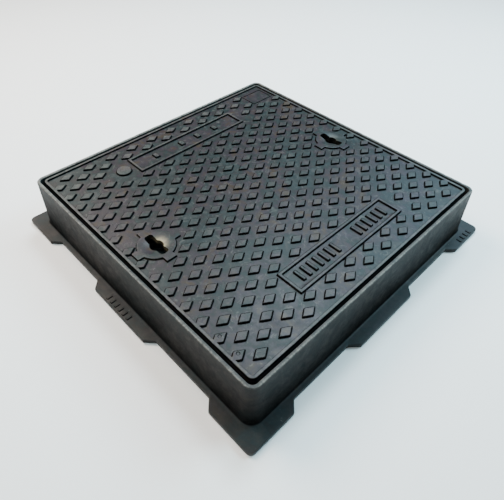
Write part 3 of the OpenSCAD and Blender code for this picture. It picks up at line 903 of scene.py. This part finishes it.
# Heights of the painted shade: on the raised work, down the key sockets' dishes and slots, and on the frame's
# wall, darker towards its foot.
COVER_SHADE_HEIGHTS = (GROUND - 1.6 * MM, GROUND - 0.8 * MM, TOP + 1 * MM, TOP + 2 * MM)
SOCKET_SHADE_HEIGHTS = (TOP - 11 * MM, TOP - 9 * MM, TOP + 1 * MM, TOP + 2 * MM)
WALL_SHADE_HEIGHTS = (FLANGE_T - 0.2 * MM, FLANGE_T + 0.6 * MM, -25 * MM, TOP + 45 * MM)
cover_iron = coated_iron(
    "cover_iron", COVER_COATS, scuffed=0.18, gloss=0.16, rough=(0.36, 0.5), shade_heights=COVER_SHADE_HEIGHTS,
    slopes=RELIEF_SLOPES, rub_and_sheen=(0.17, 1.4 * MM, COVER_HALF - 5 * MM, COVER_HALF - 3 * MM))
frame_iron = coated_iron(
    "frame_iron", FRAME_COATS, scuffed=0.03, gloss=0.12, rough=(0.4, 0.55), shade_heights=WALL_SHADE_HEIGHTS,
    slopes=STEEP, rub_and_sheen=(0.5, 2.6 * MM, RIM_HALF - 3.6 * MM, RIM_HALF - 1.2 * MM))
# The front socket's dish gets a strong painted highlight with some dust, the rear one only a little dust.
socket_iron = {
    end: coated_iron(name, COVER_COATS, scuffed=0.14, gloss=0.18, rough=(0.36, 0.5), shade_heights=SOCKET_SHADE_HEIGHTS,
                     slopes=STEEP, dust_and_highlight_amount=dust_and_highlight_amount)
    for end, name, dust_and_highlight_amount in (("front", "socket_iron_dusty_highlit", 0.95), ("rear", "socket_iron", 0.08))}
strip_rubber = clouded(
    "rubber", {"scale": 60, "detail": 4}, [(0.3, (0.012, 0.012, 0.013)), (0.8, (0.03, 0.03, 0.031))],
    rough=(0.62, 0.8), grain=1400, grain_depth=0.05 * MM)
pocket_plastic = clouded(
    "plastic", {"scale": 35, "detail": 3, "distortion": 1.0},
    [(0.3, (0.018, 0.019, 0.02)), (0.75, (0.035, 0.036, 0.038))],
    rough=(0.38, 0.5), grain=1100, grain_depth=0.04 * MM)
fastener_steel = clouded(
    "steel", {"scale": 300, "detail": 4}, [(0.3, (0.36, 0.36, 0.36)), (0.75, (0.56, 0.56, 0.55))],
    rough=(0.28, 0.45), grain=1800, grain_depth=0.02 * MM, metallic=1.0)

cover = build_cover()
dress(cover, cover_iron)
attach(cover, "cover_body")
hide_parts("cover")

casting = build_frame()
dress(casting, frame_iron)
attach(casting, "frame_body")
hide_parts("frame")

for end in KEYS:
    socket = build_socket(end)
    dress(socket, socket_iron[end])
    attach(socket, "cover_body")
    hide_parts("key_socket_" + end)

for end in SIDES:
    strip = made("seat_strip_" + end + "_lips", lambda bm: build_strip(bm, end))
    smooth(strip)
    dress(strip, strip_rubber)
    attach(strip, "frame_body")
    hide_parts("seat_strip_" + end)

for end in KEYS:
    gasket = build_gasket(end)
    dress(gasket, strip_rubber)
    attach(gasket, "cover_body")
    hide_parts("pocket_gasket_" + end)

for name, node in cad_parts.items():
    if name.startswith("key_pocket"):
        dress(node, pocket_plastic)
        soften(node, 0.5 * MM)
    elif name.startswith(("pocket_screws", "pocket_washers")):
        dress(node, fastener_steel)
        soften(node, 0.3 * MM)

# ------------------------------------------------------------------ stage, light and camera


# Soft panels over the object: name, direction, width, power in watts and colour
LIGHTS = [
    ("key", (-0.62, -0.15, 0.78), 0.9, 58, (1.0, 0.9, 0.8)),
    ("sky", (0.3, 0.65, 0.66), 0.8, 50, (0.5, 0.85, 1.0)),
    ("high", (-0.2, 0.38, 0.9), 0.5, 45, (0.7, 0.9, 1.0)),
    ("edge", (-0.1, 0.75, 0.65), 0.5, 12, (0.5, 0.76, 1.0)),
    ("above", (-0.1, -0.35, 0.95), 0.9, 14, (0.6, 0.92, 1.0)),
    ("front", (-0.1, -0.8, 0.6), 0.9, 7, (1.0, 0.98, 0.95)),
]
LIGHT_DISTANCE = 2.0
LIT_POINT = Vector((0, 0, 50 * MM))


def soft_panel(name, toward, width, power, colour):
    data = bpy.data.lights.new(name, "AREA")
    data.shape = "RECTANGLE"
    data.size, data.size_y = width, width
    data.energy = power
    data.color = colour
    lamp = bpy.data.objects.new(name, data)
    lamp.location = Vector(toward).normalized() * LIGHT_DISTANCE
    lamp.rotation_mode = "QUATERNION"
    lamp.rotation_quaternion = (LIT_POINT - lamp.location).to_track_quat("-Z", "Y")
    bpy.context.scene.collection.objects.link(lamp)


def floor():
    bm = bmesh.new()
    bmesh.ops.create_grid(bm, x_segments=1, y_segments=1, size=6)
    obj = finished(bm, "floor")
    mat, _, shader = new_material("floor")
    shader.inputs["Base Color"].default_value = (0.97, 0.92, 0.89, 1)
    shader.inputs["Roughness"].default_value = 0.9
    dress(obj, mat)


def even_light(strength):
    scene_world = bpy.data.worlds.new("studio")
    scene_world.use_nodes = True
    background = scene_world.node_tree.nodes["Background"]
    background.inputs["Color"].default_value = (1, 1, 1, 1)
    background.inputs["Strength"].default_value = strength
    bpy.context.scene.world = scene_world


def camera(azimuth, elevation, roll, aim, distance, lens):
    a, e = math.radians(azimuth), math.radians(elevation)
    back = Vector((math.sin(a) * math.cos(e), -math.cos(a) * math.cos(e), math.sin(e)))
    data = bpy.data.cameras.new("camera")
    data.sensor_width = 36
    data.lens = lens
    cam = bpy.data.objects.new("camera", data)
    cam.location = Vector(aim) + back * distance
    cam.rotation_mode = "QUATERNION"
    cam.rotation_quaternion = (-back).to_track_quat("-Z", "Y") @ Quaternion((0, 0, 1), math.radians(roll))
    bpy.context.scene.collection.objects.link(cam)
    bpy.context.scene.camera = cam


floor()
even_light(0.12)
for light in LIGHTS:
    soft_panel(*light)
camera(azimuth=44.81, elevation=46.62, roll=1.30, aim=(0.0753, -0.0796, 0.05), distance=0.745, lens=32.1)
